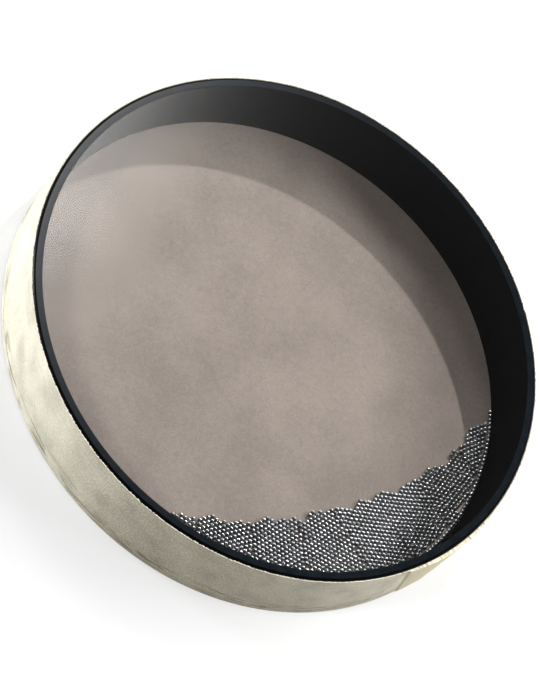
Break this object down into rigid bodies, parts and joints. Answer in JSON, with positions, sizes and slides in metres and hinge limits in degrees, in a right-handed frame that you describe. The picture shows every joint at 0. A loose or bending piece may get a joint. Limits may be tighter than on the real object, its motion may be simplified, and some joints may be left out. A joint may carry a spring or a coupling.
{
  "type": "ocean drum",
  "caption": "Round two-headed frame drum with a clear film head, a suede film head and loose steel balls between them that roll to make the sound of waves.",
  "frame": {"origin": "middle of the flat face of the rear hoop, on which the drum lies", "axes": "+Z along the drum's axis, from the rear hoop towards the clear front head; +X and +Y across the heads"},
  "size_m": [0.4082, 0.4082, 0.0635],
  "materials": {
    "black_fibre": "resin-bonded fibre, satin black",
    "clear_film": "clear gloss polyester film",
    "suede_film": "taupe polyester film, suede texture",
    "cream_fibre_cloth": "cream resin-bonded fibre cloth",
    "steel_shot": "polished bearing steel"
  },
  "bodies": {
    "drum": {"shell": "black_fibre", "rear_hoop": "black_fibre", "front_head": "clear_film", "rear_head": "suede_film", "side_cover": "cream_fibre_cloth"},
    "shot_wall_row": {"shot_row_01": "steel_shot"},
    "shot_pool": {"shot_row_02": "steel_shot", "shot_row_03": "steel_shot", "shot_row_04": "steel_shot", "shot_row_05": "steel_shot", "shot_row_06": "steel_shot", "shot_row_07": "steel_shot"},
    "shot_crest": {"shot_row_08": "steel_shot", "shot_row_09": "steel_shot", "shot_row_10": "steel_shot"}
  },
  "joints": [
    {"name": "shot_swirl", "type": "hinge", "parent": "drum", "child": "shot_wall_row", "pos_m": [0, 0, 0.00743], "axis": [0, 0, 1], "continuous": true},
    {"name": "shot_drop", "type": "slide", "parent": "shot_wall_row", "child": "shot_pool", "axis": [0, 0, 1], "range_m": [0, 0.0536]},
    {"name": "shot_roll", "type": "slide", "parent": "shot_pool", "child": "shot_crest", "axis": [-0.2588, 0.9659, 0], "range_m": [0, 0.26]}
  ]
}
